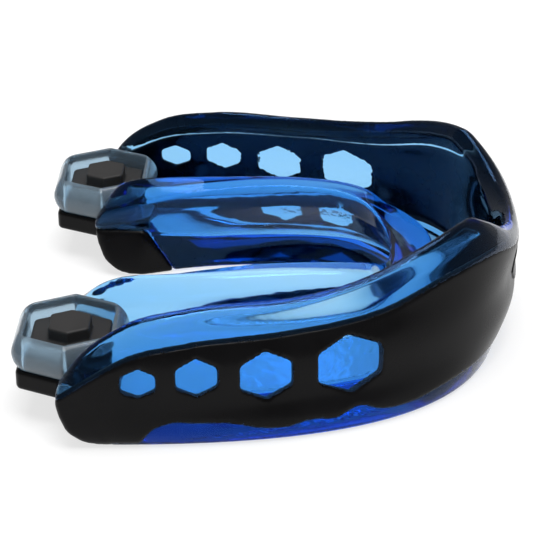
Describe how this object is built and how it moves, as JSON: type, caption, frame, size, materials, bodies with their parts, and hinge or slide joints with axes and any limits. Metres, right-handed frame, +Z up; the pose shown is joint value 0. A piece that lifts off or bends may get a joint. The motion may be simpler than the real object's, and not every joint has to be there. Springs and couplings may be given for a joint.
{
  "type": "mouthguard",
  "caption": "Boil-and-bite mouthguard: blue gel liner and bite pads in a black outer frame with hexagonal side windows and studded heel tabs.",
  "frame": {"origin": "on the resting plane under the bite pads, at the centre of the guard's footprint box", "axes": "+X across the jaw towards the guard's right arm (the wearer's side depends on use), -Y towards the front teeth, +Z up out of the tooth channel"},
  "size_m": [0.0648, 0.0562, 0.0185],
  "materials": {
    "frame_black": "black moulded elastomer with a soft satin sheen",
    "stud_black": "black moulded elastomer, matte",
    "gel_blue": "glossy translucent blue gel",
    "pad_blue": "glossy translucent blue gel",
    "window_blue": "glossy translucent blue gel, flush in the frame's windows",
    "collar_clear": "clear gel with a faint blue tint"
  },
  "bodies": {
    "root": {"outer_frame": "frame_black", "front_panel": "frame_black", "heel_plate_left": "frame_black", "heel_plate_right": "frame_black", "heel_stud_left": "stud_black", "heel_stud_right": "stud_black", "gel_liner": "gel_blue", "bite_pad": "pad_blue", "heel_collar_left": "collar_clear", "heel_collar_right": "collar_clear", "window_gel_left_1": "window_blue", "window_gel_left_2": "window_blue", "window_gel_left_3": "window_blue", "window_gel_left_4": "window_blue", "window_gel_right_1": "window_blue", "window_gel_right_2": "window_blue", "window_gel_right_3": "window_blue", "window_gel_right_4": "window_blue"}
  },
  "joints": []
}
